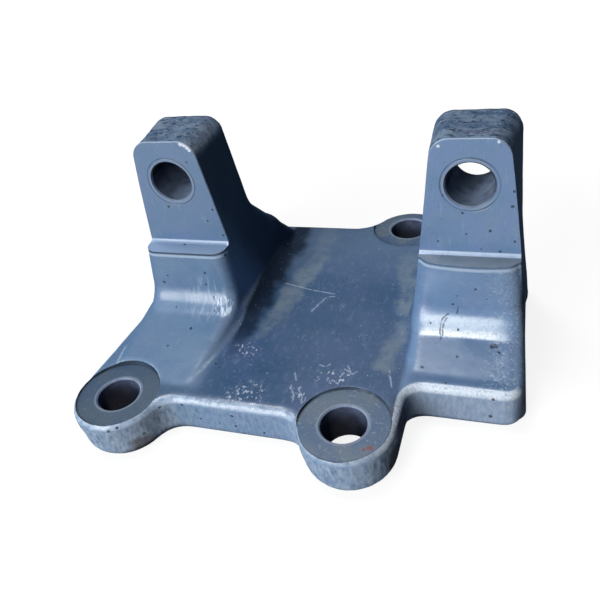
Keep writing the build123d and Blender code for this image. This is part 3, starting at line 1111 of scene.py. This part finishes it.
def spotface_paint():
    """Turned spot faces with rings round each bolt hole, and a spot of rust."""
    paint = Paint("spotface_paint")
    ragged = paint.jittered(1.4, 4)
    across = from_nearest(paint, paint.x, HOLES[0][0], HOLES[3][0])
    along = from_nearest(paint, paint.y, HOLES[0][1], HOLES[3][1])
    reach = paint.reach(across, along)
    turned = paint.node("ShaderNodeCombineXYZ")
    paint.link(reach, turned.inputs[0])
    rings = paint.noise(0.7, 2, 0.6, place=turned.outputs[0])

    blue, grey = colour(80, 104, 134), colour(102, 118, 134)
    tone = paint.mottled(blue, grey, 1, 0.36, 0.6, size=13, detail=3)
    tone = paint.mix(paint.ramp(rings, 0.4, 0.65, 0, 0.45), tone, colour(84, 104, 134))
    tone = paint.mottled(tone, colour(148, 160, 172), 0.5, 0.58, 0.7, size=1.6, detail=3)
    front_left = paint.both(paint.ramp(paint.x, -50, -60), paint.ramp(paint.y, -40, -50))
    tone = paint.mix(paint.both(front_left, 0.6), tone, colour(52, 74, 96))
    rim = paint.ramp(reach, 20.9, 21.8)
    patchy = paint.ramp(paint.noise(12, 2, shift=(3, 3, 3)), 0.35, 0.55, 0.35, 1)
    tone = paint.mix(paint.both(rim, patchy, 0.75), tone, colour(46, 56, 70))
    mouth = paint.both(paint.ramp(reach, 13.2, 12.2), 0.5)
    tone = paint.mix(mouth, tone, colour(150, 164, 182))
    rust = paint.both(paint.spots(ragged, RUST), 0.8)
    tone = paint.mix(rust, tone, colour(126, 70, 66))

    turning = paint.bump(rings, 0.04, paint.soft_edges(0.4))
    waves = paint.bump(paint.noise(2.2, 3), 0.08, turning)
    return paint.finish(tone, 0.42, waves)


def drilled_paint():
    """Dull walls of the bores and bolt holes, with painted light on the walls that face up and
    painted shade on those that face down and deep in the bolt holes.
    """
    paint = Paint("drilled_paint", gloss=0.15)
    dark, mid, brown = colour(70, 80, 106), colour(92, 104, 130), colour(62, 54, 60)
    tone = paint.mottled(dark, mid, 1, 0.35, 0.65, size=6, detail=3)
    tone = paint.mottled(tone, brown, 0.7, 0.5, 0.7, size=3, detail=4, roughness=0.6)
    # Painted light on the walls that face up
    upward = paint.ramp(paint.facing_z, 0.1, 0.7)
    lit = paint.both(upward, paint.ramp(paint.noise(5, 3), 0.3, 0.6, 0.5, 1))
    tone = paint.mix(lit, tone, colour(134, 152, 180))
    # Painted shade on the walls that face down
    shaded = paint.both(paint.ramp(paint.facing_z, 0, -0.4), 0.8)
    tone = paint.mix(shaded, tone, colour(30, 30, 34))
    # Painted shade deeper down in the bolt holes
    tone = paint.mix(paint.ramp(paint.z, 19, 10, 0, 0.6), tone, colour(36, 38, 46))
    rings = paint.noise(1.2, 3, 0.6, (8, 1, 8))
    return paint.finish(tone, 0.45, paint.bump(rings, 0.06, paint.soft_edges(0.4)))


# Stage, light and camera

def area_light(name, width, length, power, direction, distance):
    """Soft light that shines at the bracket from a direction."""
    light = bpy.data.lights.new(name, "AREA")
    light.shape = "ELLIPSE"
    light.size = width
    light.size_y = length
    light.energy = power
    lamp = bpy.data.objects.new(name, light)
    bpy.context.scene.collection.objects.link(lamp)
    towards = Vector(direction).normalized()
    lamp.location = Vector(LAMP_AIM) + towards * distance
    lamp.rotation_euler = (-towards).to_track_quat("-Z", "Y").to_euler()


def seen_directly(tree):
    """1 for rays of the camera, of reflections and through glass, 0 for those that light."""
    path = tree.nodes.new("ShaderNodeLightPath")
    share = path.outputs["Is Camera Ray"]
    for name in ("Is Glossy Ray", "Is Transmission Ray"):
        either = tree.nodes.new("ShaderNodeMath")
        either.operation = "MAXIMUM"
        tree.links.new(share, either.inputs[0])
        tree.links.new(path.outputs[name], either.inputs[1])
        share = either.outputs[0]
    return share


def between(tree, share, low, high):
    """Value that goes from low to high with the share."""
    made = tree.nodes.new("ShaderNodeMapRange")
    tree.links.new(share, made.inputs["Value"])
    made.inputs["To Min"].default_value = low
    made.inputs["To Max"].default_value = high
    return made.outputs[0]


def glowing_floor_material():
    """Grey floor that looks nearly white to the camera but lights nothing."""
    material = bpy.data.materials.new("floor")
    material.use_nodes = True
    tree = material.node_tree
    shader = tree.nodes["Principled BSDF"]
    shader.inputs["Base Color"].default_value = (0.2, 0.2, 0.2, 1)
    shader.inputs["Roughness"].default_value = 0.9
    shader.inputs["Specular IOR Level"].default_value = 0.0
    shader.inputs["Emission Color"].default_value = (1, 1, 1, 1)
    place = tree.nodes.new("ShaderNodeTexCoord")
    reach = tree.nodes.new("ShaderNodeVectorMath")
    reach.operation = "LENGTH"
    tree.links.new(place.outputs["Object"], reach.inputs[0])
    glow = between(tree, reach.outputs["Value"], FLOOR_GLOW, 1.0)
    glow.node.inputs["From Min"].default_value = GLOW_START
    glow.node.inputs["From Max"].default_value = GLOW_END
    seen = tree.nodes.new("ShaderNodeMath")
    seen.operation = "MULTIPLY"
    tree.links.new(glow, seen.inputs[0])
    tree.links.new(seen_directly(tree), seen.inputs[1])
    tree.links.new(seen.outputs[0], shader.inputs["Emission Strength"])
    return material


def make_floor():
    half = FLOOR_HALF
    corners = [(-half, -half, 0), (half, -half, 0), (half, half, 0), (-half, half, 0)]
    mesh = bpy.data.meshes.new("floor")
    mesh.from_pydata(corners, [], [(0, 1, 2, 3)])
    mesh.materials.append(glowing_floor_material())
    made = new_object("floor", mesh)
    made.location.z = -FLOOR_DROP
    return made


def make_world():
    """White surroundings that light the part only a little."""
    world = bpy.data.worlds.new("world")
    world.use_nodes = True
    bpy.context.scene.world = world
    tree = world.node_tree
    background = tree.nodes["Background"]
    background.inputs["Color"].default_value = (1, 1, 1, 1)
    strength = between(tree, seen_directly(tree), WORLD_LIGHT, 1.0)
    tree.links.new(strength, background.inputs["Strength"])


def make_camera():
    """The camera that was fitted to the photograph."""
    data = bpy.data.cameras.new("camera")
    data.lens = CAMERA_LENS
    data.sensor_width = 36
    data.clip_start = 0.01
    data.clip_end = 20
    camera = bpy.data.objects.new("camera", data)
    bpy.context.scene.collection.objects.link(camera)
    camera.location = CAMERA_PLACE
    camera.rotation_euler = [math.radians(turn) for turn in CAMERA_TURN]
    bpy.context.scene.camera = camera


# The bracket

bracket = rough_forging()
bake_modifier(bracket, "REMESH", mode="VOXEL", voxel_size=VOXEL * MM)
forge_skin(bracket)
machine(bracket)
bracket.name = "bracket_forging"
bracket.data.materials.clear()
for material in (
    forged_paint(False),
    milled_paint(),
    spotface_paint(),
    drilled_paint(),
    forged_paint(True),
):
    bracket.data.materials.append(material)
finish_surface(bracket)
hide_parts("bracket")
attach(bracket, "root")

# The scene round it

floor = make_floor()
make_world()
for lamp in LAMPS:
    area_light(*lamp)
make_camera()
bpy.context.scene.view_settings.view_transform = "Standard"

print("triangles", sum(len(face.vertices) - 2 for face in bracket.data.polygons))
